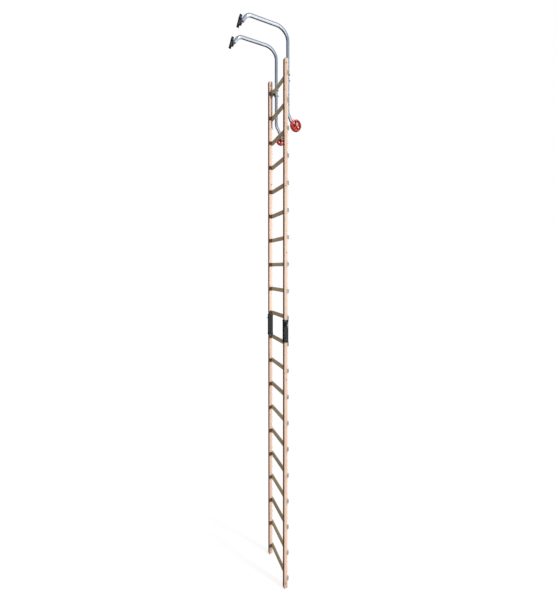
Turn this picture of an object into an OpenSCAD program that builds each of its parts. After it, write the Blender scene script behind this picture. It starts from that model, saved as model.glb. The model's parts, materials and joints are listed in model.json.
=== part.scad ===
// Wooden roof ladder in two plug-together sections, with two ridge hooks, swivelling pads and wheels.
// X runs across the ladder, +Y is the roof side, +Z is up along the stiles.
// The origin is the ridge line: midway between the hooks, under the straight part of their arms.

/* [Ladder] */
// Distance between two neighbouring rungs
rung_pitch = 280; // [250:1:300]
// Rungs in each of the two sections
rungs_per_section = 10; // [6:1:10]
// Length cut off the lower end of the lower section
foot_trim = 40; // [0:1:60]
// Distance between the stile centres
stile_spacing = 370; // [340:1:420]
// Stile thickness across the ladder
stile_t = 30; // [26:1:34]
// Stile depth from the roof side to the climbing side
stile_d = 45; // [42:1:60]
// Rung height along the stile
rung_h = 40; // [34:1:46]
// Rung thickness
rung_t = 22; // [20:1:28]
// Depth of the notch that the rung sits in
rung_notch = 12; // [8:1:14]

/* [Joining sleeves] */
// Wall of the folded steel sleeve
sleeve_wall = 3; // [2:0.5:4]
// Play between the sleeve and the stile
sleeve_play = 0.4; // [0.3:0.1:0.8]
// Gap left between the sleeve and the rungs above and below it
sleeve_gap = 2; // [1:1:10]
// Length of each collar at the sleeve's ends
collar_len = 14; // [8:1:24]
// Distance of the clamping screw below the sleeve's upper end
wing_drop = 47; // [35:1:60]
// Distance of the fixing bolt above the sleeve's lower end
sleeve_bolt_rise = 35; // [20:1:60]

/* [Ridge hooks] */
// Outer radius of the hook tube
tube_r = 17; // [14:0.5:20]
// Wall of the hook tube
tube_wall = 2; // [1.5:0.5:3]
// Distance of each hook tube from the ladder's middle
tube_x = 134; // [100:1:140]
// Height of the arm's centre line above the top rung
arm_rise = 497; // [450:5:560]
// Radius of the large bend at the top
top_bend_r = 132; // [120:5:200]
// Length of the straight arm
arm_len = 274; // [150:1:300]
// Radius of the bend before the pad
tip_bend_r = 81; // [80:5:130]
// Angle that the tip turns down from the arm
tip_angle = 58; // [50:1:60]
// Straight tube after the tip bend
tip_len = 50; // [50:1:80]
// Distance from the tube's end to the pad's pivot
pivot_gap = 21; // [21:1:30]
// Where the lower bend starts, below the top rung
lower_bend_drop = 345; // [310:5:360]
// Radius of the lower bend
lower_bend_r = 100; // [70:5:130]
// Angle of the lower leg away from the stile
lower_angle = 30; // [20:1:40]
// Length of the lower leg as far as the wheel's axle
lower_len = 125; // [100:1:150]

/* [Wheels] */
// Wheel radius
wheel_r = 62.5; // [50:0.5:75]
// Wheel width
wheel_w = 32; // [26:1:33]
// Number of spokes
spokes = 5; // [3:1:6]
// Axle bolt radius
axle_r = 6; // [5:0.5:8]

/* [Pads] */
// Pad length
pad_len = 106; // [100:1:160]
// Pad width across the ladder
pad_w = 46; // [44:1:60]
// Thickness of the rubber
pad_rubber_t = 21; // [14:1:26]
// Gap between the two rubber blocks of a pad
pad_split = 16; // [8:1:20]
// Lean of the pad's upper end towards the ladder
pad_tilt = 14; // [0:1:14]

/* [Hidden] */
$fn = 64;
left = -1;
right = 1;
eps = 0.1;
fit = 0.06;              // radial clearance of every running fit
hole_gap = 0.1;          // radial gap around fasteners that don't turn
edge = 2;                // chamfer on the long wooden edges
end_edge = 6;            // chamfer on the free stile ends
butt_edge = 1;           // chamfer on the stile ends inside the sleeves

rung_count = 2 * rungs_per_section;
section_len = rungs_per_section * rung_pitch;
ladder_len = 2 * section_len;
stile_x = stile_spacing / 2;
ladder_w = stile_spacing + stile_t;
stile_front_y = -stile_d / 2;
rung_back_y = stile_front_y + rung_notch;
rung_front_y = rung_back_y - rung_t;
rung_mid_y = (rung_front_y + rung_back_y) / 2;
top_rung_z = ladder_len - rung_pitch / 2;
function rung_z(number) = top_rung_z - (number - 1) * rung_pitch;

rung_screw_r = 2.5;
rung_screw_head_r = 4.8;
rung_screw_len = rung_t + 20;
rung_screw_rise = 10;
rivet_r = 3;
rivet_head_r = 7;
rivet_head_h = 2.5;
rivet_inset = 50;

sleeve_in_x = stile_t + 2 * sleeve_play;
sleeve_in_y = stile_d + 2 * sleeve_play;
sleeve_out_x = sleeve_in_x + 2 * sleeve_wall;
sleeve_out_y = sleeve_in_y + 2 * sleeve_wall;
collar_t = 1.5;
sleeve_z0 = rung_z(rungs_per_section + 1) + rung_h / 2 + sleeve_gap;
sleeve_z1 = rung_z(rungs_per_section) - rung_h / 2 - sleeve_gap;
boss = 40;
boss_t = 3;
wing_z = sleeve_z1 - wing_drop;
wing_r = 5;
wing_nut_af = 17;
wing_nut_h = 8;
wing_hub_r = 9;
wing_hub_h = 13;
wing_ear_r = 11;
wing_ear_t = 5;
wing_ear_reach = 18;
wing_tip_gap = 0.15;
sleeve_bolt_z = sleeve_z0 + sleeve_bolt_rise;
sleeve_bolt_r = 4;
sleeve_bolt_head_r = 9;
sleeve_bolt_head_h = 4;
sleeve_nut_af = 13;
sleeve_nut_h = 6.5;

saddle_t = 3;
saddle_w = 36;
saddle_h = 90;
tube_y = rung_front_y - saddle_t - tube_r;
saddle_bolt_rise = 31;
saddle_bolt_r = 4;
saddle_bolt_af = 13;
saddle_bolt_head_h = 6.5;
saddle_dome_h = 6;
saddle_dome_r = 5.8;
saddle_nut_h = 6.5;
saddle_lip = 3;
thread_end = 2;          // thread left past every nut
packer_h = 30;
tube_screw_r = 2.5;
tube_screw_head_r = 5;
tube_screw_head_h = 2.5;
tube_screw_bite = 16;

lower_bend_z = top_rung_z - lower_bend_drop;
lower_end_y = tube_y - lower_bend_r * (1 - cos(lower_angle));
lower_end_z = lower_bend_z - lower_bend_r * sin(lower_angle);
axle_y = lower_end_y - lower_len * sin(lower_angle);
axle_z = lower_end_z - lower_len * cos(lower_angle);
axle_tail = 22;          // tube left beyond the axle
top_bend_z = top_rung_z + arm_rise - top_bend_r;
arm_z = top_rung_z + arm_rise;
arm_start_y = tube_y + top_bend_r;
arm_end_y = arm_start_y + arm_len;
tip_y = arm_end_y + tip_bend_r * sin(tip_angle);
tip_z = arm_z - tip_bend_r * (1 - cos(tip_angle));
pivot_y = tip_y + (tip_len + pivot_gap) * cos(tip_angle);
pivot_z = tip_z - (tip_len + pivot_gap) * sin(tip_angle);
bead_len = 2.4;
bead_h = 0.15;
plug_r = tube_r - tube_wall - hole_gap;
plug_len = 12;
end_cap_t = 3;
tongue_flange_t = 4;
tongue_flange_r = 14;
tongue_t = 8;
tongue_r = 11.5;
pivot_r = 5;

ridge_y = (arm_start_y + arm_end_y) / 2;
ridge_z = arm_z - tube_r;

axle_washer_t = 1.2;
axle_washer_r = 11;
outer_washer_t = 2.4;
outer_washer_r = 13;
hub_x = tube_x + tube_r + axle_washer_t + 0.4;
wheel_x = hub_x + wheel_w / 2;
outer_washer_x = hub_x + wheel_w + 0.4;
axle_head_x = outer_washer_x + outer_washer_t;
axle_head_af = 19;
axle_head_h = 7.5;
axle_nut_h = 10.8;
axle_nut_x = tube_x - tube_r - axle_nut_h - 0.1;
bush_r = 9;
hub_r = 16;
rim_in_r = wheel_r - 12;
web_t = 6;
rib_t = 6;
rib_w = wheel_w - 8;
pocket_r = 8;

bracket_in = 40;
bracket_t = 3;
bracket_out = bracket_in + 2 * bracket_t;
bracket_len = 100;
web_y = 12.5;
ear_back_y = -10;
ear_half = 9;
ear_base = 22;
bracket_lip = 3;         // height of the bracket's side lips beyond its ears
pivot_head_af = 17;
pivot_head_h = 6.4;
pivot_nut_h = 8;
groove_w = 7;
groove_d = 8;

// ---- shared shapes ----

// Moves the drawing from the ladder's foot to the ridge line.
module at_ridge() {
    translate([0, -ridge_y, -ridge_z]) children();
}

// Turns a shape drawn in (y, z, x) so that its first two directions are the ladder's Y and Z.
module side_view() {
    rotate([90, 0, 90]) children();
}

// Points a shape drawn along +Z outwards, to the left or the right.
module outwards(side) {
    rotate([0, side * 90, 0]) children();
}

module chamfered_rect(width, depth, cut) {
    x = width / 2;
    y = depth / 2;
    polygon([
        [-x + cut, -y], [x - cut, -y], [x, -y + cut], [x, y - cut],
        [x - cut, y], [-x + cut, y], [-x, y - cut], [-x, -y + cut]
    ]);
}

module hexagon(across_flats, height) {
    cylinder(r = across_flats / sqrt(3), h = height, $fn = 6);
}

module ring(outer_r, inner_r, height) {
    difference() {
        cylinder(r = outer_r, h = height);
        translate([0, 0, -eps]) cylinder(r = inner_r, h = height + 2 * eps);
    }
}

module hex_nut(across_flats, height, bore_r) {
    difference() {
        hexagon(across_flats, height);
        translate([0, 0, -eps]) cylinder(r = bore_r, h = height + 2 * eps);
    }
}

// Countersunk wood screw along +Z, its head flush at z = 0.
module wood_screw(gap = 0) {
    head_h = rung_screw_head_r - rung_screw_r;
    point = 4;
    rotate_extrude()
        polygon([
            [0, -gap], [rung_screw_head_r + gap, -gap], [rung_screw_head_r + gap, 0.3],
            [rung_screw_r + gap, head_h + 0.3], [rung_screw_r + gap, rung_screw_len - point + gap],
            [0, rung_screw_len + gap]
        ]);
}

// ---- wooden frame ----

// Every wood screw of the rungs from first to last, on one side of the ladder.
module rung_screw_places(side, first, last) {
    for (number = [first : last], rise = [-rung_screw_rise, rung_screw_rise])
        translate([side * stile_x, rung_front_y, rung_z(number) + rise])
            rotate([-90, 0, 0])
                children();
}

module stile_blank(length, foot_cut, head_cut) {
    y = stile_d / 2;
    intersection() {
        linear_extrude(length) chamfered_rect(stile_t, stile_d, edge);
        side_view()
            translate([0, 0, -stile_t])
                linear_extrude(2 * stile_t)
                    polygon([
                        [-y + foot_cut, 0], [y - foot_cut, 0], [y, foot_cut],
                        [y, length - head_cut], [y - head_cut, length],
                        [-y + head_cut, length], [-y, length - head_cut], [-y, foot_cut]
                    ]);
    }
}

module stile(side, first, last, foot_z, head_z, foot_cut, head_cut) {
    difference() {
        translate([side * stile_x, 0, foot_z]) stile_blank(head_z - foot_z, foot_cut, head_cut);
        for (number = [first : last])
            translate([side * stile_x, rung_back_y - rung_notch, rung_z(number)])
                cube([stile_t + 2, 2 * rung_notch, rung_h], center = true);
        rung_screw_places(side, first, last) wood_screw(hole_gap);
        children();
    }
}

module upper_stile(side) {
    color("burlywood")
        stile(side, 1, rungs_per_section, section_len, ladder_len, butt_edge, end_edge)
            end_rivet_place(side, ladder_len - rivet_inset)
                cylinder(r = rivet_r + hole_gap, h = stile_t + 2, center = true);
}

module lower_stile(side) {
    color("burlywood")
        stile(side, rungs_per_section + 1, rung_count, foot_trim, section_len, end_edge, butt_edge) {
            end_rivet_place(side, foot_trim + rivet_inset)
                cylinder(r = rivet_r + hole_gap, h = stile_t + 2, center = true);
            sleeve_bolt_place(side)
                cylinder(r = sleeve_bolt_r + hole_gap, h = stile_t + 2, center = true);
        }
}

module rung(number) {
    color("tan")
        difference() {
            translate([-ladder_w / 2, rung_mid_y, rung_z(number)])
                rotate([90, 0, 90])
                    linear_extrude(ladder_w) chamfered_rect(rung_t, rung_h, edge);
            for (side = [left, right])
                rung_screw_places(side, number, number) wood_screw(hole_gap);
            if (number == 2)
                for (side = [left, right])
                    tube_screw_place(side) cylinder(r = tube_screw_r + hole_gap, h = tube_screw_len());
        }
}

module rung_screws(first, last) {
    color("silver")
        for (side = [left, right])
            rung_screw_places(side, first, last) wood_screw();
}

module end_rivet_place(side, z) {
    translate([side * stile_x, 0, z]) outwards(side) children();
}

module end_rivets(z) {
    color("silver")
        for (side = [left, right])
            end_rivet_place(side, z) {
                cylinder(r = rivet_r, h = stile_t + 2 * rivet_head_h, center = true);
                for (end = [-1, 1])
                    translate([0, 0, end * (stile_t + rivet_head_h) / 2])
                        cylinder(r = rivet_head_r, h = rivet_head_h, center = true);
            }
}

// ---- joining sleeves ----

module sleeve_bolt_place(side) {
    translate([side * stile_x, 0, sleeve_bolt_z]) outwards(side) children();
}

module wing_place(side) {
    translate([side * stile_x, 0, wing_z]) outwards(side) children();
}

module sleeve(side) {
    color("#26272a")
        difference() {
            translate([side * stile_x, 0, 0]) {
                translate([0, 0, sleeve_z0])
                    linear_extrude(sleeve_z1 - sleeve_z0) chamfered_rect(sleeve_out_x, sleeve_out_y, edge);
                for (z = [sleeve_z0, sleeve_z1 - collar_len])
                    translate([0, 0, z])
                        linear_extrude(collar_len)
                            chamfered_rect(sleeve_out_x + 2 * collar_t, sleeve_out_y + 2 * collar_t, edge);
                translate([side * (sleeve_out_x + boss_t) / 2, 0, wing_z])
                    cube([boss_t, boss, boss], center = true);
            }
            translate([side * stile_x, 0, (sleeve_z0 + sleeve_z1) / 2])
                cube([sleeve_in_x, sleeve_in_y, sleeve_z1 - sleeve_z0 + 2], center = true);
            wing_place(side) cylinder(r = wing_r + 0.5, h = stile_t);
            sleeve_bolt_place(side)
                cylinder(r = sleeve_bolt_r + hole_gap, h = 2 * sleeve_out_x, center = true);
        }
}

module sleeve_weld_nuts() {
    color("#3a3b3e")
        for (side = [left, right])
            wing_place(side)
                translate([0, 0, sleeve_out_x / 2 + boss_t])
                    hex_nut(wing_nut_af, wing_nut_h, wing_r + fit);
}

module sleeve_bolts() {
    color("#2b2c30")
        for (side = [left, right])
            sleeve_bolt_place(side) {
                translate([0, 0, sleeve_out_x / 2])
                    rotate_extrude()
                        polygon([
                            [0, 0], [sleeve_bolt_head_r, 0], [sleeve_bolt_head_r - 1, sleeve_bolt_head_h / 2],
                            [sleeve_bolt_head_r / 2, sleeve_bolt_head_h], [0, sleeve_bolt_head_h]
                        ]);
                translate([0, 0, -sleeve_out_x / 2 - sleeve_nut_h - thread_end])
                    cylinder(r = sleeve_bolt_r, h = sleeve_out_x + sleeve_nut_h + thread_end);
            }
}

module sleeve_nuts() {
    color("#2b2c30")
        for (side = [left, right])
            sleeve_bolt_place(side)
                translate([0, 0, -sleeve_out_x / 2 - sleeve_nut_h])
                    hex_nut(sleeve_nut_af, sleeve_nut_h, sleeve_bolt_r + hole_gap);
}

// Clamping screw with two ears; turn is the direction of the ears around the screw.
module wing_bolt(side, turn) {
    hub_z = sleeve_out_x / 2 + boss_t + wing_nut_h + 6;
    color("silver")
        wing_place(side)
            rotate([0, 0, turn]) {
                translate([0, 0, stile_t / 2 + wing_tip_gap])
                    cylinder(r = wing_r, h = hub_z - stile_t / 2);
                translate([0, 0, hub_z])
                    cylinder(r1 = wing_hub_r, r2 = wing_hub_r - 2, h = wing_hub_h);
                for (end = [-1, 1])
                    translate([end * wing_ear_reach, 0, hub_z + wing_hub_h / 2 + 3])
                        rotate([90, 0, 0])
                            cylinder(r = wing_ear_r, h = wing_ear_t, center = true);
                translate([0, 0, hub_z + wing_hub_h / 2])
                    cube([2 * wing_ear_reach, wing_ear_t, wing_hub_h - 2], center = true);
            }
}

// ---- ridge hooks ----

module tube_line(y, z, angle, length, r) {
    translate([y, z, 0]) rotate([0, 0, angle]) rotate([0, 90, 0]) cylinder(r = r, h = length);
}

module tube_bend(y, z, bend_r, from, sweep, r) {
    translate([y, z, 0])
        rotate([0, 0, from])
            rotate_extrude(angle = sweep)
                translate([bend_r, 0]) circle(r = r);
}

// A short cylinder around a butt joint of the tube.
module tube_joint(y, z, angle, length, r) {
    translate([y, z, 0]) rotate([0, 0, angle]) rotate([0, 90, 0]) cylinder(r = r, h = length, center = true);
}

// The whole route of a hook tube, from beyond the axle to the tip. The two straight ends are butt
// welded on: the joints there stand bead proud of r. extra lengthens both ends.
module hook_route(r, bead, extra = 0) {
    up = 90 - lower_angle;
    tail = axle_tail + extra;
    tube_line(axle_y - tail * cos(up), axle_z - tail * sin(up), up, lower_len + tail, r);
    tube_joint(lower_end_y, lower_end_z, up, bead_len, r + bead);
    tube_bend(tube_y - lower_bend_r, lower_bend_z, lower_bend_r, 0, -lower_angle, r);
    tube_line(tube_y, lower_bend_z, 90, top_bend_z - lower_bend_z, r);
    tube_bend(arm_start_y, top_bend_z, top_bend_r, 90, 90, r);
    tube_line(arm_start_y, arm_z, 0, arm_len, r);
    tube_bend(arm_end_y, arm_z - tip_bend_r, tip_bend_r, 90, -tip_angle, r);
    tube_joint(tip_y, tip_z, -tip_angle, bead_len, r + bead);
    tube_line(tip_y, tip_z, -tip_angle, tip_len + extra, r);
}

module saddle_bolt_places(side) {
    for (rise = [-saddle_bolt_rise, saddle_bolt_rise])
        translate([side * tube_x, tube_y - tube_r, top_rung_z + rise])
            rotate([-90, 0, 0])
                children();
}

module tube_screw_place(side) {
    translate([side * tube_x, tube_y - tube_r, rung_z(2)]) rotate([-90, 0, 0]) children();
}

function tube_screw_len() = 2 * tube_r + saddle_t + tube_screw_bite;

module axle_place(side) {
    translate([0, axle_y, axle_z]) outwards(side) children();
}

module hook_tube(side) {
    color("#b4bcc4")
        difference() {
            translate([side * tube_x, 0, 0])
                side_view()
                    difference() {
                        hook_route(tube_r, bead_h);
                        hook_route(tube_r - tube_wall, bead_h, 1);
                    }
            saddle_bolt_places(side)
                translate([0, 0, -1]) cylinder(r = saddle_bolt_r + hole_gap, h = 2 * tube_r + 2);
            tube_screw_place(side)
                translate([0, 0, -1]) cylinder(r = tube_screw_r + hole_gap, h = 2 * tube_r + 2);
            axle_place(side)
                cylinder(r = axle_r + hole_gap, h = 2 * tube_x);
        }
}

// Steel plug in the tube's tip, with a flat tongue for the pad's pivot.
module hook_tongue(side) {
    color("#8d949b")
        translate([side * tube_x, pivot_y, pivot_z])
            side_view()
                rotate([0, 0, -tip_angle])
                    difference() {
                        union() {
                            translate([-pivot_gap - plug_len, 0, 0])
                                rotate([0, 90, 0]) cylinder(r = plug_r, h = plug_len + 1);
                            translate([-pivot_gap, 0, 0])
                                rotate([0, 90, 0]) cylinder(r = tongue_flange_r, h = tongue_flange_t);
                            translate([-pivot_gap + 1, -tongue_r, -tongue_t / 2])
                                cube([pivot_gap - 1, 2 * tongue_r, tongue_t]);
                            cylinder(r = tongue_r, h = tongue_t, center = true);
                        }
                        cylinder(r = pivot_r + fit, h = 2 * tongue_t, center = true);
                    }
}

module hook_end_caps() {
    color("#202124")
        for (side = [left, right])
            translate([side * tube_x, axle_y, axle_z])
                side_view()
                    rotate([0, 0, -90 - lower_angle])
                        rotate([0, 90, 0]) {
                            translate([0, 0, axle_tail]) cylinder(r = tube_r, h = end_cap_t);
                            translate([0, 0, axle_tail - plug_len]) cylinder(r = plug_r, h = plug_len);
                        }
}

module rung_saddles() {
    y0 = rung_front_y - saddle_t;
    color("#c3c8cc")
        for (side = [left, right])
            difference() {
                union() {
                    translate([side * tube_x - saddle_w / 2, y0, top_rung_z - saddle_h / 2])
                        cube([saddle_w, saddle_t, saddle_h]);
                    for (z = [-rung_h / 2 - saddle_t, rung_h / 2])
                        translate([side * tube_x - saddle_w / 2, y0, top_rung_z + z])
                            cube([saddle_w, rung_t + saddle_t + saddle_lip, saddle_t]);
                }
                saddle_bolt_places(side)
                    cylinder(r = saddle_bolt_r + hole_gap, h = 3 * tube_r);
            }
}

module saddle_bolts() {
    color("#2b2c30")
        for (side = [left, right])
            saddle_bolt_places(side) {
                translate([0, 0, -saddle_bolt_head_h]) hexagon(saddle_bolt_af, saddle_bolt_head_h);
                translate([0, 0, -saddle_bolt_head_h - saddle_dome_h])
                    cylinder(r1 = saddle_dome_r / 2, r2 = saddle_dome_r, h = saddle_dome_h);
                cylinder(r = saddle_bolt_r, h = 2 * tube_r + saddle_t + saddle_nut_h + thread_end);
            }
}

module saddle_nuts() {
    color("#2b2c30")
        for (side = [left, right])
            saddle_bolt_places(side)
                translate([0, 0, 2 * tube_r + saddle_t])
                    hex_nut(saddle_bolt_af, saddle_nut_h, saddle_bolt_r + hole_gap);
}

module tube_packers() {
    color("#c3c8cc")
        for (side = [left, right])
            difference() {
                translate([side * tube_x, rung_front_y - saddle_t / 2, rung_z(2)])
                    cube([saddle_w, saddle_t, packer_h], center = true);
                tube_screw_place(side) cylinder(r = tube_screw_r + hole_gap, h = 3 * tube_r);
            }
}

module tube_screws() {
    color("silver")
        for (side = [left, right])
            tube_screw_place(side) {
                translate([0, 0, -tube_screw_head_h]) cylinder(r = tube_screw_head_r, h = tube_screw_head_h);
                cylinder(r = tube_screw_r, h = tube_screw_len() - 1);
            }
}

// ---- wheels ----

module axle_bolts() {
    color("silver")
        for (side = [left, right])
            axle_place(side) {
                translate([0, 0, axle_nut_x - thread_end])
                    cylinder(r = axle_r, h = axle_head_x - axle_nut_x + thread_end);
                translate([0, 0, axle_head_x]) hexagon(axle_head_af, axle_head_h);
            }
}

module axle_nuts() {
    color("silver")
        for (side = [left, right])
            axle_place(side)
                translate([0, 0, axle_nut_x]) hex_nut(axle_head_af, axle_nut_h, axle_r + hole_gap);
}

module inner_axle_washers() {
    color("silver")
        for (side = [left, right])
            axle_place(side)
                translate([0, 0, tube_x + tube_r + 0.1])
                    ring(axle_washer_r, axle_r + hole_gap, axle_washer_t);
}

module outer_axle_washers() {
    color("silver")
        for (side = [left, right])
            axle_place(side)
                translate([0, 0, outer_washer_x])
                    ring(outer_washer_r, axle_r + hole_gap, outer_washer_t);
}

module wheel(side) {
    w = wheel_w / 2;
    web = web_t / 2;
    bore = bush_r + hole_gap;
    color("#b3262a")
        axle_place(side)
            translate([0, 0, wheel_x])
                difference() {
                    union() {
                        rotate_extrude()
                            polygon([
                                [bore, -w], [hub_r, -w], [hub_r + 3, -web],
                                [rim_in_r - 3, -web], [rim_in_r, -w + 2],
                                [wheel_r - 5, -w], [wheel_r - 1, -w + 4], [wheel_r, -w + 9],
                                [wheel_r, w - 9], [wheel_r - 1, w - 4], [wheel_r - 5, w],
                                [rim_in_r, w - 2], [rim_in_r - 3, web],
                                [hub_r + 3, web], [hub_r, w], [bore, w]
                            ]);
                        for (number = [1 : spokes])
                            rotate([0, 0, number * 360 / spokes])
                                translate([hub_r - 2, -rib_t / 2, -rib_w / 2])
                                    cube([rim_in_r - hub_r + 4, rib_t, rib_w]);
                    }
                    for (number = [1 : spokes])
                        rotate([0, 0, (number + 0.5) * 360 / spokes])
                            translate([(hub_r + rim_in_r) / 2, 0, 0])
                                cylinder(r = pocket_r, h = wheel_w, center = true);
                }
}

module wheel_bush(side) {
    color("#e8e6df")
        axle_place(side)
            translate([0, 0, hub_x - 0.2]) ring(bush_r, axle_r + fit, wheel_w + 0.4);
}

// ---- swivelling pads ----

// The pad's own frame: pivot at the origin, +Y out of the rubber's face.
module pad_place(side) {
    translate([side * tube_x, pivot_y, pivot_z]) rotate([pad_tilt, 0, 0]) children();
}

module pad_bracket(side) {
    half = bracket_len / 2;
    color("#232427")
        pad_place(side)
            difference() {
                union() {
                    translate([-bracket_out / 2, web_y, -half])
                        cube([bracket_out, bracket_t, bracket_len]);
                    for (x = [-bracket_out / 2, bracket_in / 2])
                        translate([x, 0, 0])
                            side_view()
                                linear_extrude(bracket_t)
                                    polygon([
                                        [web_y + bracket_t, -half], [web_y + bracket_t, half],
                                        [web_y - bracket_lip, half], [web_y - bracket_lip, ear_base],
                                        [ear_back_y, ear_half], [ear_back_y, -ear_half],
                                        [web_y - bracket_lip, -ear_base], [web_y - bracket_lip, -half]
                                    ]);
                }
                outwards(right)
                    cylinder(r = pivot_r + hole_gap, h = 2 * bracket_out, center = true);
            }
}

module pad_rubber(side) {
    block = (pad_len - pad_split) / 2;
    foot = web_y + bracket_t;
    face = foot + pad_rubber_t;
    color("#17181a")
        pad_place(side)
            for (end = [-1, 1])
                translate([0, 0, end * (pad_split + block) / 2])
                    difference() {
                        side_view()
                            translate([0, 0, -pad_w / 2])
                                linear_extrude(pad_w)
                                    polygon([
                                        [foot, -block / 2], [face - 4, -block / 2], [face, -block / 2 + 4],
                                        [face, block / 2 - 4], [face - 4, block / 2], [foot, block / 2]
                                    ]);
                        translate([0, face, 0])
                            cube([pad_w + 2, 2 * groove_d, groove_w], center = true);
                    }
}

module pad_pivot(side) {
    color("silver")
        pad_place(side)
            outwards(side) {
                translate([0, 0, -bracket_out / 2 - pivot_nut_h])
                    cylinder(r = pivot_r, h = bracket_out + pivot_nut_h);
                translate([0, 0, bracket_out / 2]) hexagon(pivot_head_af, pivot_head_h);
                translate([0, 0, -bracket_out / 2 - pivot_nut_h]) hexagon(pivot_head_af, pivot_nut_h);
            }
}

at_ridge() upper_stile(left);  // upper_stile_left
at_ridge() upper_stile(right);  // upper_stile_right
at_ridge() lower_stile(left);  // lower_stile_left
at_ridge() lower_stile(right);  // lower_stile_right
at_ridge() rung(1);  // rung_01
at_ridge() rung(2);  // rung_02
at_ridge() rung(3);  // rung_03
at_ridge() rung(4);  // rung_04
at_ridge() rung(5);  // rung_05
at_ridge() rung(6);  // rung_06
at_ridge() rung(7);  // rung_07
at_ridge() rung(8);  // rung_08
at_ridge() rung(9);  // rung_09
at_ridge() rung(10);  // rung_10
at_ridge() rung(11);  // rung_11
at_ridge() rung(12);  // rung_12
at_ridge() rung(13);  // rung_13
at_ridge() rung(14);  // rung_14
at_ridge() rung(15);  // rung_15
at_ridge() rung(16);  // rung_16
at_ridge() rung(17);  // rung_17
at_ridge() rung(18);  // rung_18
at_ridge() rung(19);  // rung_19
at_ridge() rung(20);  // rung_20
at_ridge() rung_screws(1, rungs_per_section);  // rung_screws_upper
at_ridge() rung_screws(rungs_per_section + 1, rung_count);  // rung_screws_lower
at_ridge() end_rivets(ladder_len - rivet_inset);  // end_rivets_upper
at_ridge() end_rivets(foot_trim + rivet_inset);  // end_rivets_lower
at_ridge() sleeve(left);  // sleeve_left
at_ridge() sleeve(right);  // sleeve_right
at_ridge() sleeve_weld_nuts();
at_ridge() sleeve_bolts();
at_ridge() sleeve_nuts();
at_ridge() wing_bolt(left, 0);  // wing_bolt_left
at_ridge() wing_bolt(right, 90);  // wing_bolt_right
at_ridge() hook_tube(left);  // hook_tube_left
at_ridge() hook_tube(right);  // hook_tube_right
at_ridge() hook_tongue(left);  // hook_tongue_left
at_ridge() hook_tongue(right);  // hook_tongue_right
at_ridge() hook_end_caps();
at_ridge() rung_saddles();
at_ridge() saddle_bolts();
at_ridge() saddle_nuts();
at_ridge() tube_packers();
at_ridge() tube_screws();
at_ridge() axle_bolts();
at_ridge() axle_nuts();
at_ridge() inner_axle_washers();
at_ridge() outer_axle_washers();
at_ridge() wheel(left);  // wheel_left
at_ridge() wheel(right);  // wheel_right
at_ridge() wheel_bush(left);  // wheel_bush_left
at_ridge() wheel_bush(right);  // wheel_bush_right
at_ridge() pad_bracket(left);  // pad_bracket_left
at_ridge() pad_bracket(right);  // pad_bracket_right
at_ridge() pad_rubber(left);  // pad_rubber_left
at_ridge() pad_rubber(right);  // pad_rubber_right
at_ridge() pad_pivot(left);  // pad_pivot_left
at_ridge() pad_pivot(right);  // pad_pivot_right
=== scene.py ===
"""Looks of the roof ladder: materials, fine detail, floor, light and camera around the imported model.

Everything is in metres in the model's own frame: X across the ladder, +Y the roof side,
+Z up the stiles, and the origin on the ridge line that the hooks hang from.
"""
import json
import math

import bmesh
import bpy
from mathutils import Matrix, Vector


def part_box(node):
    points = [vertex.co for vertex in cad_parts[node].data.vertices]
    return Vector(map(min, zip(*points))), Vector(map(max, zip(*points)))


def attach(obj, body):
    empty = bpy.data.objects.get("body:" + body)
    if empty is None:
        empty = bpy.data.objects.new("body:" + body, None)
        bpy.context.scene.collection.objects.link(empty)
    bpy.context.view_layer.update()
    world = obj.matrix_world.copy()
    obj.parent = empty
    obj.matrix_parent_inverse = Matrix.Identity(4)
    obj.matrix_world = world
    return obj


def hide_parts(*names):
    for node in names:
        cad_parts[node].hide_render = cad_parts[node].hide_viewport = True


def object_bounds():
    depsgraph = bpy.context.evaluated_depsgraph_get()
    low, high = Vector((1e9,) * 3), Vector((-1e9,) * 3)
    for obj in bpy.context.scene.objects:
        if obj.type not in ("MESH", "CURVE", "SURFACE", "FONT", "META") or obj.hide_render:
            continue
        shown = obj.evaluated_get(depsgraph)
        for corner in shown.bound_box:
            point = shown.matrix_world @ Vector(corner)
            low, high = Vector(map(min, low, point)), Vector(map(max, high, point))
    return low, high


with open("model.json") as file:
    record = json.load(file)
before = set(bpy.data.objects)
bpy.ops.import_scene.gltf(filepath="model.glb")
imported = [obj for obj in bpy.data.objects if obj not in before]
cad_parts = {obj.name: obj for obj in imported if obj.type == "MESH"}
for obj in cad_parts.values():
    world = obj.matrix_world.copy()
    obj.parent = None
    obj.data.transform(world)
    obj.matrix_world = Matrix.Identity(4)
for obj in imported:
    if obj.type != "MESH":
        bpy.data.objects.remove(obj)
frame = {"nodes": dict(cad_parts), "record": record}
cad_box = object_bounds()
nodes = frame["nodes"]


def middle(node):
    """The x, y and z of the middle of a CAD node's box."""
    low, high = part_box(node)
    return [(a + b) / 2 for a, b in zip(low, high)]


MM = 0.001
SIDES = (("left", -1), ("right", 1))

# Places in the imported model, in metres.
RUNG_PITCH = 0.280
TOP_RUNG_Z = middle("rung_01")[2]
RUNG_FRONT_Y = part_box("rung_01")[0].y
STILE_X, STILE_Y = middle("upper_stile_right")[:2]
SECTION_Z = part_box("upper_stile_left")[0].z     # where the two sections meet
SCREW_RISE = 0.010      # of the rung screws, from the middle of their rung
SADDLE_RISE = 0.031     # of the saddle bolts, from the middle of the top rung
TUBE_X = 0.134          # from the ladder's middle to each hook tube's
FLOOR_Z = cad_box[0].z


# ---- material graphs ----

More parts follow.
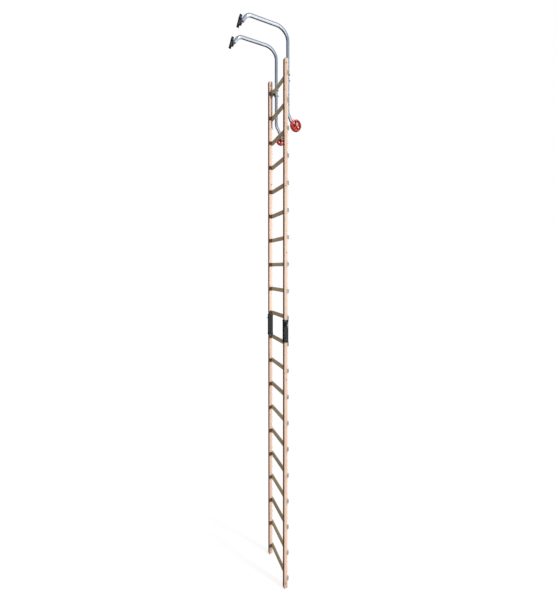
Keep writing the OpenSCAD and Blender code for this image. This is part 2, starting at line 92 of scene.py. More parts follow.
class Tree:
    """Short names for the nodes of one node tree."""

    def __init__(self, tree):
        self.tree = tree

    def node(self, kind, inputs=(), **settings):
        made = self.tree.nodes.new(kind)
        for key, value in settings.items():
            setattr(made, key, value)
        for key, value in dict(inputs).items():
            self.put(made.inputs[key], value)
        return made

    def put(self, socket, value):
        if isinstance(value, bpy.types.NodeSocket):
            self.tree.links.new(value, socket)
        elif isinstance(value, tuple) and len(value) == 3 and socket.type == "RGBA":
            socket.default_value = (*value, 1.0)
        else:
            socket.default_value = value

    def calc(self, operation, a, b=0.0):
        return self.node("ShaderNodeMath", {0: a, 1: b}, operation=operation).outputs[0]

    def split(self, vector):
        return self.node("ShaderNodeSeparateXYZ", {0: vector}).outputs[:3]

    def join(self, x, y, z):
        return self.node("ShaderNodeCombineXYZ", {0: x, 1: y, 2: z}).outputs[0]

    def stretch(self, vector, x, y, z):
        made = self.node("ShaderNodeVectorMath", {0: vector, 1: (x, y, z)}, operation="MULTIPLY")
        return made.outputs[0]

    def noise(self, vector, scale, detail=2.0, rough=0.5, twist=0.0):
        made = self.node("ShaderNodeTexNoise", {
            "Vector": vector, "Scale": scale, "Detail": detail, "Roughness": rough, "Distortion": twist})
        return made.outputs[0]

    def cells(self, vector, scale, output="Distance"):
        made = self.node("ShaderNodeTexVoronoi", {"Vector": vector, "Scale": scale})
        return made.outputs[output]

    def random(self, value):
        made = self.node("ShaderNodeTexWhiteNoise", {"W": value}, noise_dimensions="1D")
        return made.outputs[0]

    def rise(self, value, low, high, bottom=0.0, top=1.0):
        """bottom below low, top above high, and a smooth step between. It falls if low is above high."""
        made = self.node("ShaderNodeMapRange", {
            "Value": value, "From Min": low, "From Max": high, "To Min": bottom, "To Max": top},
            interpolation_type="SMOOTHSTEP")
        return made.outputs[0]

    def mix(self, share, a, b, blend="MIX"):
        """a where the share is 0, b where it is 1. A mix node has its colours at sockets 6 and 7."""
        colours = {0: share, 6: a, 7: b}
        made = self.node("ShaderNodeMix", data_type="RGBA", blend_type=blend)
        for index, value in colours.items():
            self.put(made.inputs[index], value)
        return made.outputs[2]

    def bump(self, height, distance, strength=1.0, under=None):
        made = self.node("ShaderNodeBump", {"Height": height, "Distance": distance, "Strength": strength})
        if under is not None:
            self.put(made.inputs["Normal"], under)
        return made.outputs[0]


class Graph(Tree):
    """A Principled material and what feeds it."""

    def __init__(self, name):
        self.material = bpy.data.materials.new(name)
        self.material.use_nodes = True
        super().__init__(self.material.node_tree)
        self.shader = self.tree.nodes["Principled BSDF"]
        coords = self.tree.nodes.new("ShaderNodeTexCoord")
        self.point = coords.outputs["Object"]
        self.normal = coords.outputs["Normal"]

    def rungs_up(self, z):
        """How many rungs a height is above the top one."""
        return self.calc("DIVIDE", self.calc("SUBTRACT", z, TOP_RUNG_Z), RUNG_PITCH)

    def near_rung(self, z):
        """Signed distance from the middle of the nearest rung, along the ladder."""
        turns = self.calc("FRACT", self.calc("ADD", self.rungs_up(z), 0.5))
        return self.calc("MULTIPLY", self.calc("SUBTRACT", turns, 0.5), RUNG_PITCH)

    def facing(self, axis):
        """How squarely the surface faces along an axis, 0 to 1."""
        return self.calc("ABSOLUTE", self.split(self.normal)[axis])

    def chamfer(self):
        """1 on faces that lie askew to the three axes, such as chamfers and bevels."""
        x, y, z = self.split(self.normal)
        powers = [self.calc("POWER", self.calc("ABSOLUTE", part), 4.0) for part in (x, y, z)]
        total = self.calc("ADD", self.calc("ADD", powers[0], powers[1]), powers[2])
        return self.rise(total, 0.95, 0.65)

    def set(self, **sockets):
        for key, value in sockets.items():
            self.put(self.shader.inputs[key.replace("_", " ")], value)
        return self.material


# Wood sizes, in metres.
RING_WIDTH = 0.0032
PITH_SPREAD = 0.11      # how far the pith wanders to either side of its plank
PITH_DEPTH = 0.042      # how far the pith lies in front of the stiles' middle
SWIRL = 0.007           # how far a knot pushes the rings aside
RING_JITTER = 0.0016

# Wood colours.
PALE_FIBRE = (0.90, 0.76, 0.60)
KNOT_COLLAR = (0.34, 0.17, 0.085)
KNOT_HEART = (0.15, 0.060, 0.028)
# painted highlight towards the stiles' climbing side
FRONT_EDGE_HIGHLIGHT = (0.93, 0.83, 0.75)
# painted shade towards the stiles' roof side
ROOF_EDGE_SHADE = (0.34, 0.20, 0.12)
# painted shadow of the rungs on the stiles' inner faces
JOINT_SHADE = (0.12, 0.050, 0.026)
# painted shade on the stiles' faces turned to the roof side (this colour and the next)
ROOF_SHADE_TINT = (0.17, 0.085, 0.045)
ROOF_SIDE_SHADE = (0.19, 0.088, 0.042)
TREAD_SCUFF = (0.86, 0.72, 0.50)
RUNG_EDGE = (0.20, 0.135, 0.080)
WOOD_DIRT = (0.10, 0.070, 0.048)
WORN_EDGE = (0.86, 0.70, 0.53)
DENT = (0.20, 0.12, 0.07)


def wood(name, along, light, dark, warm, end_grain, knots):
    """Planed wood: growth rings around an off-centre pith, fibres, knots, end grain and wear, with
    painted highlight and shade on the stiles.
    """
    g = Graph(name)
    x, y, z = g.split(g.point)
    from_rung = g.near_rung(z)
    if along == "z":
        grain, width, end_axis = z, g.calc("SUBTRACT", g.calc("ABSOLUTE", x), STILE_X), 2
        side = g.calc("SIGN", x)
        plank = g.calc("ADD", side, g.calc("MULTIPLY", g.calc("GREATER_THAN", z, SECTION_Z), 5.0))
    else:
        grain, width, end_axis = x, from_rung, 0
        plank = g.calc("ROUND", g.rungs_up(z))
    luck = g.random(plank)
    shift = g.calc("MULTIPLY", luck, 37.0)      # each plank is cut from another place
    here = g.join(g.calc("ADD", width, shift), y, g.calc("ADD", grain, shift))

    # growth rings
    wander = g.noise(here, 1.6, 2.0)
    pith = g.calc("MULTIPLY", g.calc("SUBTRACT", g.calc("ADD", luck, wander), 1.0), PITH_SPREAD)
    u = g.calc("SUBTRACT", width, pith)
    v = g.calc("ADD", g.calc("SUBTRACT", y, STILE_Y), PITH_DEPTH)
    radius = g.calc("SQRT", g.calc("ADD", g.calc("MULTIPLY", u, u), g.calc("MULTIPLY", v, v)))
    knot_at = g.cells(g.join(g.calc("MULTIPLY", g.calc("ADD", width, shift), 4.0),
                             g.calc("MULTIPLY", y, 10.0), g.calc("MULTIPLY", grain, 10.0)), 1.0)
    swirl = g.calc("MULTIPLY", g.rise(knot_at, 0.30, 0.05), SWIRL * knots)
    fine = g.calc("MULTIPLY", g.noise(g.stretch(here, 60.0, 60.0, 5.0), 1.0, 3.0), RING_JITTER)
    radius = g.calc("ADD", g.calc("ADD", radius, swirl), fine)
    ring = g.calc("FRACT", g.calc("DIVIDE", radius, RING_WIDTH))
    late = g.calc("MULTIPLY", g.rise(ring, 0.35, 0.93), g.rise(ring, 1.0, 0.94))

    # fibres and broad tone
    fibre = g.noise(g.stretch(here, 900.0, 900.0, 22.0), 1.0, 3.0, 0.6)
    streak = g.noise(g.stretch(here, 60.0, 60.0, 1.4), 1.0, 4.0, 0.6)
    tone = g.noise(g.stretch(here, 6.0, 6.0, 1.1), 1.0, 3.0, 0.55, 0.3)
    colour = g.mix(g.rise(tone, 0.35, 0.68), light, warm)
    colour = g.mix(g.calc("MULTIPLY", late, 0.42), colour, dark)
    colour = g.mix(g.rise(streak, 0.55, 0.80, 0.0, 0.45), colour, dark)
    colour = g.mix(g.rise(fibre, 0.58, 0.80, 0.0, 0.30), colour, dark)
    colour = g.mix(g.rise(fibre, 0.45, 0.25, 0.0, 0.22), colour, PALE_FIBRE)
    bright = g.calc("ADD", g.calc("MULTIPLY", luck, 0.16), 0.90)
    shade = g.join(bright, bright, g.calc("SUBTRACT", bright, 0.01))
    colour = g.mix(1.0, colour, shade, "MULTIPLY")

    # knots
    knot = g.rise(knot_at, 0.085, 0.055)
    collar = g.calc("MULTIPLY", g.rise(knot_at, 0.125, 0.095), 0.6)
    colour = g.mix(g.calc("MULTIPLY", collar, knots), colour, KNOT_COLLAR)
    colour = g.mix(g.calc("MULTIPLY", knot, knots * 0.85), colour, KNOT_HEART)

    # end grain, dirt, wear, and painted highlight and shade on the stiles
    ends = g.rise(g.facing(end_axis), 0.80, 0.95)
    end_rings = g.mix(late, end_grain, tuple(c * 0.6 for c in end_grain))
    colour = g.mix(g.calc("MULTIPLY", ends, 0.88), colour, end_rings)
    blotch = g.noise(here, 24.0, 4.0, 0.65)
    from_middle = g.calc("ABSOLUTE", from_rung)
    if along == "z":
        front = g.rise(y, STILE_Y + 0.012, STILE_Y - 0.006)
        corner = g.calc("MULTIPLY", g.rise(from_middle, 0.052, 0.021), front)
        low = g.rise(z, FLOOR_Z + 0.16, FLOOR_Z + 0.005)
        dirt = g.calc("ADD", g.calc("MULTIPLY", corner, 0.34), g.calc("MULTIPLY", low, 0.5))
        # Painted highlight: the stiles turn paler towards the climbing side, like a rounded edge catching
        # the key light.
        colour = g.mix(g.rise(y, STILE_Y - 0.002, STILE_Y - 0.021, 0.0, 0.55), colour, FRONT_EDGE_HIGHLIGHT)
        # Painted shade: darker over the last centimetre of the stile towards the roof side.
        colour = g.mix(g.rise(y, STILE_Y + 0.010, STILE_Y + 0.0215, 0.0, 0.72), colour, ROOF_EDGE_SHADE)
        # Painted shadow: a dark band as tall as each rung on the stiles' inner faces, where the rungs
        # shade them from the key light.
        inward = g.rise(g.calc("MULTIPLY", g.split(g.normal)[0], side), -0.5, -0.9)
        rung_shadow = g.calc("MULTIPLY", inward, g.rise(from_middle, 0.026, 0.019))
        colour = g.mix(g.calc("MULTIPLY", rung_shadow, 0.78), colour, JOINT_SHADE)
        # Painted shade: faces turned to the roof side are darkened and browned, as they lie away from the
        # key light.
        roof_side = g.rise(g.split(g.normal)[1], 0.35, 0.80)
        roof_shaded = g.mix(0.5, colour, ROOF_SHADE_TINT, "MULTIPLY")
        colour = g.mix(g.calc("MULTIPLY", roof_side, 0.78), colour, roof_shaded)
        colour = g.mix(g.calc("MULTIPLY", roof_side, 0.66), colour, ROOF_SIDE_SHADE)
    else:
        from_centre = g.calc("ABSOLUTE", x)
        trodden = g.rise(from_centre, 0.168, 0.150)
        marks = g.noise(g.stretch(here, 120.0, 120.0, 34.0), 1.0, 2.0)
        scuffs = g.calc("MULTIPLY", g.rise(marks, 0.60, 0.72), trodden)
        colour = g.mix(g.calc("MULTIPLY", scuffs, 0.70), colour, TREAD_SCUFF)
        colour = g.mix(g.calc("MULTIPLY", g.chamfer(), 0.55), colour, RUNG_EDGE)
        dirt = g.calc("ADD", g.calc("MULTIPLY", g.rise(from_centre, 0.145, 0.172), 0.25), 0.08)
    dirt = g.calc("MULTIPLY", dirt, g.rise(blotch, 0.30, 0.62))
    colour = g.mix(dirt, colour, WOOD_DIRT)
    worn = g.calc("MULTIPLY", g.chamfer(), g.rise(blotch, 0.46, 0.62))
    colour = g.mix(g.calc("MULTIPLY", worn, 0.25), colour, WORN_EDGE)
    dent_at = g.cells(g.stretch(here, 50.0, 50.0, 21.0), 1.0)
    dent = g.calc("MULTIPLY", g.rise(dent_at, 0.13, 0.04), 0.7)
    colour = g.mix(g.calc("MULTIPLY", dent, 0.30), colour, DENT)

    height = g.calc("ADD", g.calc("MULTIPLY", fibre, 0.55), g.calc("MULTIPLY", late, -0.30))
    height = g.calc("SUBTRACT", height, g.calc("MULTIPLY", dent, 1.3))
    rough = g.calc("ADD", g.calc("MULTIPLY", late, -0.08), 0.47)
    rough = g.calc("ADD", g.calc("MULTIPLY", fibre, 0.16), rough)
    return g.set(Base_Color=colour, Roughness=rough, Normal=g.bump(height, 0.00035, 0.8))


METAL_GRIME = (0.20, 0.18, 0.155)
METAL_PIT = (0.13, 0.115, 0.10)
# painted shade inside the screws' cross recesses
RECESS_SHADE = (0.015, 0.014, 0.013)
EVEN = (1.0, 1.0, 1.0)              # drawing lines alike in all directions
LENGTHWAYS = (1.0, 1.0, 0.05)       # drawing lines along the tube


def plated(name, base, tint, rough, spangle, draw, grime, stretched=EVEN, screws=False):
    """Zinc plated or bare metal: crystal spangle, drawing lines, dull patches and grime."""
    g = Graph(name)
    cell = g.split(g.cells(g.point, spangle, "Color"))[0]
    lines = g.noise(g.stretch(g.point, *stretched), draw, 3.0, 0.6)
    patch = g.noise(g.point, 38.0, 4.0, 0.6)
    fine = g.noise(g.point, 650.0, 2.0)
    colour = g.mix(g.rise(cell, 0.1, 0.9, 0.0, 0.55), base, tint)
    colour = g.mix(g.rise(lines, 0.50, 0.75, 0.0, 0.25), colour, tuple(c * 0.72 for c in base))
    dull = g.rise(patch, 0.52, 0.72)
    colour = g.mix(g.calc("MULTIPLY", dull, grime), colour, METAL_GRIME)
    pits = g.calc("MULTIPLY", g.rise(fine, 0.66, 0.76), 0.5)
    colour = g.mix(pits, colour, METAL_PIT)
    roughness = g.calc("ADD", g.calc("MULTIPLY", cell, 0.07), g.calc("MULTIPLY", lines, 0.10))
    roughness = g.calc("ADD", g.calc("ADD", roughness, g.calc("MULTIPLY", dull, 0.16)), rough - 0.08)
    height = g.calc("ADD", g.calc("MULTIPLY", lines, 0.6), g.calc("MULTIPLY", fine, 0.4))
    normal = g.bump(height, 0.00005, 0.5)
    metal = g.rise(dull, 0.0, 1.0, 1.0, 0.82)
    if screws:
        recess = cross_recess(g)
        # Painted shade: the cross recess is only a bump, darkened near-black as if in shadow.
        colour = g.mix(recess, colour, RECESS_SHADE)
        normal = g.bump(g.calc("SUBTRACT", 1.0, recess), 0.0012, 1.0, normal)
    return g.set(Base_Color=colour, Roughness=roughness, Metallic=metal, Normal=normal)


def cross_recess(g):
    """The cross in the head of every rung screw."""
    x, y, z = g.split(g.point)
    u = g.calc("ABSOLUTE", g.calc("SUBTRACT", g.calc("ABSOLUTE", x), STILE_X))
    v = g.calc("ABSOLUTE", g.calc("SUBTRACT", g.calc("ABSOLUTE", g.near_rung(z)), SCREW_RISE))
    upright, level = (
        g.calc("MULTIPLY", g.rise(width, 0.7 * MM, 0.5 * MM), g.rise(length, 2.7 * MM, 2.4 * MM))
        for width, length in ((u, v), (v, u)))
    front = g.rise(y, RUNG_FRONT_Y + 0.4 * MM, RUNG_FRONT_Y + 0.2 * MM)
    return g.calc("MULTIPLY", g.calc("MAXIMUM", upright, level), front)


def coated(name, base, worn_base, rough, wear, gloss=0.5):
    """Black powder coat with orange peel, dust, scratches, and metal showing on worn edges."""
    g = Graph(name)
    peel = g.noise(g.point, 520.0, 2.0, 0.5)
    dust = g.noise(g.point, 16.0, 5.0, 0.65)
    rubbed = g.noise(g.point, 85.0, 4.0, 0.7)
    scratch = g.noise(g.stretch(g.point, 700.0, 700.0, 16.0), 1.0, 1.0)
    colour = g.mix(g.rise(dust, 0.42, 0.75, 0.0, 0.5), base, tuple(c * 2.0 + 0.010 for c in base))
    lines = g.calc("MULTIPLY", g.rise(scratch, 0.70, 0.75), g.rise(rubbed, 0.48, 0.60))
    edges = g.calc("MULTIPLY", g.chamfer(), g.rise(rubbed, 0.44, 0.62))
    bare = g.calc("MULTIPLY", g.calc("MAXIMUM", g.calc("MULTIPLY", lines, 0.55), edges), wear)
    colour = g.mix(bare, colour, worn_base)
    roughness = g.calc("ADD", g.calc("MULTIPLY", dust, 0.20), g.calc("MULTIPLY", peel, 0.06))
    roughness = g.calc("ADD", roughness, rough - 0.10)
    height = g.calc("SUBTRACT", g.calc("MULTIPLY", peel, 0.5), g.calc("MULTIPLY", bare, 0.6))
    metal = g.calc("MULTIPLY", bare, 0.85)
    return g.set(Base_Color=colour, Roughness=roughness, Metallic=metal, Specular_IOR_Level=gloss,
                 Normal=g.bump(height, 0.00022, 0.7))


RUBBER = (0.012, 0.012, 0.013)
RUBBER_DUST = (0.055, 0.053, 0.050)
RUBBER_SCUFF = (0.13, 0.13, 0.13)
RUBBER_SPECK = (0.24, 0.24, 0.235)


def rubber(name):
    """Black moulded rubber with a matte skin, grey scuffs on the high spots and dust."""
    g = Graph(name)
    skin = g.noise(g.point, 900.0, 2.0)
    dust = g.noise(g.point, 30.0, 5.0, 0.7)
    speck = g.rise(g.cells(g.point, 210.0), 0.20, 0.08)
    marks = g.noise(g.stretch(g.point, 90.0, 260.0, 260.0), 1.0, 3.0)
    scuff = g.calc("MULTIPLY", g.rise(marks, 0.58, 0.74), 0.6)
    colour = g.mix(g.rise(dust, 0.40, 0.78, 0.0, 0.75), RUBBER, RUBBER_DUST)
    colour = g.mix(scuff, colour, RUBBER_SCUFF)
    colour = g.mix(g.calc("MULTIPLY", speck, 0.5), colour, RUBBER_SPECK)
    rough = g.calc("ADD", g.calc("MULTIPLY", dust, 0.22), 0.60)
    height = g.calc("ADD", g.calc("MULTIPLY", skin, 0.6), g.calc("MULTIPLY", dust, 0.6))
    return g.set(Base_Color=colour, Roughness=rough, Normal=g.bump(height, 0.0003, 0.7))


def moulded(name, base, pale, dark, rough, flow, dirt):
    """Moulded plastic: flow tone, fine texture, scuffs and dirt that settles in."""
    g = Graph(name)
    tone = g.noise(g.point, flow, 3.0, 0.5, 0.6)
    texture = g.noise(g.point, 1100.0, 2.0)
    grit = g.noise(g.point, 120.0, 5.0, 0.7)
    scuff = g.noise(g.stretch(g.point, 40.0, 230.0, 230.0), 1.0, 3.0, 0.6)
    colour = g.mix(g.rise(tone, 0.35, 0.70), base, pale)
    colour = g.mix(g.rise(grit, 0.50, 0.74, 0.0, dirt), colour, dark)
    scuffed = tuple(min(1.0, c * 1.25 + 0.05) for c in pale)
    colour = g.mix(g.rise(scuff, 0.62, 0.76, 0.0, 0.40), colour, scuffed)
    roughness = g.calc("ADD", g.calc("MULTIPLY", grit, 0.28), g.calc("MULTIPLY", tone, 0.08))
    roughness = g.calc("ADD", roughness, rough - 0.16)
    height = g.calc("ADD", g.calc("MULTIPLY", texture, 0.4), g.calc("MULTIPLY", grit, 0.6))
    return g.set(Base_Color=colour, Roughness=roughness, Normal=g.bump(height, 0.00018, 0.6))


MATERIALS = {
    "stile_wood": wood("stile_wood_grain", "z", light=(0.78, 0.575, 0.445), dark=(0.52, 0.30, 0.20),
                       warm=(0.76, 0.495, 0.395), end_grain=(0.44, 0.28, 0.165), knots=1.0),
    "rung_wood": wood("rung_wood_grain", "x", light=(0.76, 0.60, 0.375), dark=(0.47, 0.335, 0.19),
                      warm=(0.66, 0.485, 0.28), end_grain=(0.36, 0.27, 0.19), knots=0.0),
    "sleeve_paint": coated("sleeve_black_coat", (0.0060, 0.0060, 0.0065), (0.36, 0.37, 0.39),
                           rough=0.44, wear=0.7, gloss=0.16),
    "tube_zinc": plated("tube_zinc_plate", (0.72, 0.75, 0.79), (0.65, 0.685, 0.73), rough=0.19,
                        spangle=130.0, draw=420.0, grime=0.30, stretched=LENGTHWAYS),
    "fastener_zinc": plated("fastener_zinc_plate", (0.28, 0.285, 0.29), (0.23, 0.225, 0.215),
                            rough=0.56, spangle=600.0, draw=900.0, grime=0.45, screws=True),
    "rivet_brass": plated("rivet_tarnished_brass", (0.50, 0.29, 0.14), (0.36, 0.19, 0.09),
                          rough=0.36, spangle=500.0, draw=800.0, grime=0.55),
    "dark_bolt": coated("bolt_black_oxide", (0.012, 0.012, 0.014), (0.22, 0.22, 0.23),
                        rough=0.42, wear=0.45),
    "pad_rubber": rubber("pad_black_rubber"),
    "pad_paint": coated("bracket_black_coat", (0.0085, 0.0085, 0.009), (0.36, 0.37, 0.39),
                        rough=0.45, wear=0.7),
    "wheel_red": moulded("wheel_red_plastic", (0.50, 0.030, 0.024), (0.62, 0.060, 0.045),
                         (0.16, 0.030, 0.024), rough=0.34, flow=26.0, dirt=0.55),
    "bush_nylon": moulded("bush_white_nylon", (0.74, 0.72, 0.64), (0.80, 0.785, 0.73),
                          (0.33, 0.29, 0.22), rough=0.45, flow=60.0, dirt=0.45),
    "cap_plastic": moulded("cap_black_plastic", (0.020, 0.020, 0.021), (0.032, 0.032, 0.033),
                           (0.060, 0.057, 0.052), rough=0.50, flow=40.0, dirt=0.6),
}

slots = {part["node"]: part["material_slot"] for part in frame["record"]["subparts"]}
for name, obj in nodes.items():
    material = MATERIALS[slots[name]]
    if not obj.material_slots:
        obj.data.materials.append(material)
    for place in obj.material_slots:
        place.material = material

# Broken edges on the small hard parts catch the light: the width of each, in mm.
EDGES = {
    "axle_bolts": 0.6, "axle_nuts": 0.6, "end_rivets_lower": 0.8, "end_rivets_upper": 0.8,
    "hook_end_caps": 0.8, "hook_tongue_left": 0.5, "hook_tongue_right": 0.5,
    "outer_axle_washers": 0.4, "pad_bracket_left": 0.6, "pad_bracket_right": 0.6,
    "pad_pivot_left": 0.6, "pad_pivot_right": 0.6, "rung_saddles": 0.8, "saddle_bolts": 0.5,
    "saddle_nuts": 0.5, "sleeve_bolts": 0.3, "sleeve_nuts": 0.5, "sleeve_weld_nuts": 0.6,
    "tube_packers": 0.5, "tube_screws": 0.5, "wing_bolt_left": 0.8, "wing_bolt_right": 0.8,
}
WELD_WITHIN = 0.00001
SHARP_EDGE = math.radians(40)
for name, width in EDGES.items():
    weld = nodes[name].modifiers.new("weld", "WELD")
    weld.merge_threshold = WELD_WITHIN
    bevel = nodes[name].modifiers.new("broken_edges", "BEVEL")
    bevel.width = width * MM
    bevel.segments = 2
    bevel.limit_method = "ANGLE"
    bevel.angle_limit = SHARP_EDGE
    flat = nodes[name].modifiers.new("flat_faces", "WEIGHTED_NORMAL")
    flat.weight = 100


# ---- fine detail ----

def piece(name, mesh, body, slot, smooth=40.0):
    """A mesh that rides on a body, in the finish of a slot. Edges up to smooth degrees look round."""
    bmesh.ops.recalc_face_normals(mesh, faces=mesh.faces)
    data = bpy.data.meshes.new(name)
    mesh.to_mesh(data)
    mesh.free()
    data.materials.append(MATERIALS[slot])
    data.shade_smooth()
    data.set_sharp_from_angle(angle=math.radians(smooth))
    obj = bpy.data.objects.new(name, data)
    bpy.context.scene.collection.objects.link(obj)
    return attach(obj, body)


def skin(mesh, rings, closed=False):
    """Joins rings of points into one closed surface; the ends are capped unless the rings close."""
    made = [[mesh.verts.new(p) for p in ring] for ring in rings]
    count = len(made[0])
    pairs = list(zip(made, made[1:])) + ([(made[-1], made[0])] if closed else [])
    for a, b in pairs:
        for i in range(count):
            j = (i + 1) % count
            mesh.faces.new((a[i], a[j], b[j], b[i]))
    if not closed:
        mesh.faces.new(list(reversed(made[0])))
        mesh.faces.new(made[-1])


def across(direction):
    """Two directions square to this one and to each other."""
    first = direction.orthogonal().normalized()
    return first, direction.cross(first).normalized()


def around(count):
    """Evenly spaced angles around a circle."""
    return [2 * math.pi * k / count for k in range(count)]


THREAD_STEPS = 20           # in each turn
THREAD_RUNOUT = 0.15        # of its height, where a thread begins and ends
THREAD_HALF_WIDTH = 0.42    # of the pitch
THREAD_BITE = 0.1 * MM      # that its root lies under the bolt's surface
BEAD_SIDES = 8


def thread(mesh, start, direction, radius, length, pitch, height=0.45 * MM):
    """A helical ridge around a bolt, fading in and out over half a turn."""
    total = max(THREAD_STEPS, round(length / pitch * THREAD_STEPS))
    u, v = across(direction)
    rings = []
    for i in range(total + 1):
        angle = 2 * math.pi * i / THREAD_STEPS
        out = u * math.cos(angle) + v * math.sin(angle)
        at = start + direction * (length * i / total)
        fade = min(1.0, i / (THREAD_STEPS / 2), (total - i) / (THREAD_STEPS / 2))
        crest = radius + height * max(THREAD_RUNOUT, fade)
        half = direction * (pitch * THREAD_HALF_WIDTH)
        root = radius - THREAD_BITE
        rings.append([at - half + out * root, at + out * crest, at + half + out * root])
    skin(mesh, rings)


def bead(mesh, path, size, wobble, closed=True):
    """A weld bead along a path, with the ripples of each pass."""
    rings = []
    count = len(path)
    for i, at in enumerate(path):
        if closed:
            ahead = path[(i + 1) % count] - path[i - 1]
        else:
            ahead = path[min(i + 1, count - 1)] - path[max(i - 1, 0)]
        u, v = across(ahead.normalized())
        r = size * (1.0 + wobble * math.sin(i * 1.9) + 0.5 * wobble * math.sin(i * 0.73 + 1.0))
        rings.append([at + (u * math.cos(a) + v * math.sin(a)) * r for a in around(BEAD_SIDES)])
    skin(mesh, rings, closed)


# Threads that show between the weld nuts and the wing bolts, and past the nuts.
WING_THREAD_X = STILE_X + 30.1 * MM     # just outside the weld nut
for side, sign in SIDES:
    at = Vector((sign * WING_THREAD_X, STILE_Y, middle(f"wing_bolt_{side}")[2]))
    mesh = bmesh.new()
    thread(mesh, at, Vector((sign, 0, 0)), radius=5.0 * MM, length=4.6 * MM, pitch=1.5 * MM)
    piece(f"wing_thread_{side}", mesh, f"wing_{side}", "fastener_zinc")

mesh = bmesh.new()
saddle_thread_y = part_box("saddle_bolts")[1].y - 1.7 * MM
for side, sign in SIDES:
    for z in (TOP_RUNG_Z - SADDLE_RISE, TOP_RUNG_Z + SADDLE_RISE):
        thread(mesh, Vector((sign * TUBE_X, saddle_thread_y, z)), Vector((0, 1, 0)),
               radius=4.0 * MM, length=1.4 * MM, pitch=0.7 * MM, height=0.25 * MM)
piece("saddle_bolt_threads", mesh, "upper_section", "dark_bolt")


# Weld around each weld nut, and the seam down the roof side of each sleeve.
NUT_CORNER = 17 * MM / math.sqrt(3)     # from the middle of a weld nut to each corner
NUT_STEPS = 9                           # of the bead, along each side of the nut
SEAM_STEP = 1.8 * MM
SEAM_INSET = 15.5 * MM                  # the seam stops short of the sleeve's end bands
NUT_BEAD, SEAM_BEAD = 1.5 * MM, 1.35 * MM
for side, sign in SIDES:
    low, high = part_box(f"sleeve_{side}")
    face = sign * max(abs(low.x), abs(high.x))
    nut_z = middle(f"wing_bolt_{side}")[2]
    corners = [Vector((face, STILE_Y + NUT_CORNER * math.sin(a), nut_z + NUT_CORNER * math.cos(a)))
               for a in around(6)]
    path = [corner.lerp(corners[(k + 1) % 6], step / NUT_STEPS)
            for k, corner in enumerate(corners) for step in range(NUT_STEPS)]
    count = int((high.z - low.z - 2 * SEAM_INSET) / SEAM_STEP) + 1
    seam = [Vector((sign * STILE_X + 0.25 * MM * math.sin(i * 0.6), high.y - 1.5 * MM,
                    low.z + SEAM_INSET + i * SEAM_STEP)) for i in range(count)]
    mesh = bmesh.new()
    bead(mesh, path, NUT_BEAD, wobble=0.16)
    bead(mesh, seam, SEAM_BEAD, wobble=0.18, closed=False)
    piece(f"sleeve_welds_{side}", mesh, "lower_section", "sleeve_paint", smooth=70.0)


# The pads, in mm. "out" is from the pivot through the rubber, and "along" is up the pad.
PAD_TILT = math.radians(14)
PAD_FOOT, PAD_FACE = 15.5, 36.5     # out, of the rubber's back and of its face
PAD_HALF = 23.0                     # half the pad's width
BLOCK_AT = 30.5                     # along, of the middle of each block
LOBE, GAP, RIBS = 19.0, 7.0, 3      # each block has two ribbed lobes
BLOCK_HALF = LOBE + GAP / 2
LOBE_STEPS = 48
CORNER_DEPTH, RIB_DEPTH = 6.5, 1.3
# Places across the pad, and how far the outline draws in there.
PAD_ENDS = [(-PAD_HALF + x, inset) for x, inset in ((0, 3.0), (0.4, 1.6), (1.4, 0.6), (3.0, 0.0))]
PAD_ENDS += [(-x, inset) for x, inset in reversed(PAD_ENDS)]
# The round-headed bolts in the split between the blocks, each on a washer.
BOLTS_AT = (-11.0, 11.0)
BOLT_SIDES = 28
BOLT_PROFILE = ((-0.4, 6.6), (0.8, 6.6), (1.2, 6.2), (1.2, 5.2),    # out from the bracket, radius
                (3.2, 5.0), (5.0, 4.2), (6.2, 2.6), (6.6, 0.9))


def lobe_outline():
    """Outline of one block in the pad's (out, along) plane: two ribbed lobes on a common base."""
    points = [(PAD_FOOT, -BLOCK_HALF)]
    for centre in (-(LOBE + GAP) / 2, (LOBE + GAP) / 2):
        start = centre - LOBE / 2
        for i in range(LOBE_STEPS + 1):
            t = i / LOBE_STEPS
            edge = min(t, 1 - t) * LOBE / 5.0
            corner = 1 - math.sqrt(max(0.0, 1 - (1 - min(1.0, edge)) ** 2))
            rib = 0.5 - 0.5 * math.cos(2 * math.pi * RIBS * t)
            crown = PAD_FACE - RIB_DEPTH + RIB_DEPTH * rib * min(1.0, edge)
            points.append((crown - CORNER_DEPTH * corner, start + t * LOBE))
        if centre < 0:
            points += [(PAD_FACE - 10.5, -GAP / 2 + 1.0), (PAD_FACE - 11.5, 0.0),
                       (PAD_FACE - 10.5, GAP / 2 - 1.0)]
    points.append((PAD_FOOT, BLOCK_HALF))
    return points


def pad_lobes(mesh, pivot, block):
    """One rubber block of a pad."""
    rings = []
    for x, inset in PAD_ENDS:
        shrink_out = 1 - inset / (PAD_FACE - PAD_FOOT)
        shrink_along = 1 - inset / BLOCK_HALF
        rings.append([pivot @ Vector((x * MM, (PAD_FOOT + (out - PAD_FOOT) * shrink_out) * MM,
                                      (block + along * shrink_along) * MM))
                      for out, along in lobe_outline()])
    skin(mesh, rings)


def pad_bolt(mesh, pivot, x):
    """One round-headed bolt and its washer."""
    skin(mesh, [[pivot @ Vector(((x + radius * math.cos(a)) * MM, (PAD_FOOT + out) * MM,
                                 radius * math.sin(a) * MM)) for a in around(BOLT_SIDES)]
                for out, radius in BOLT_PROFILE])


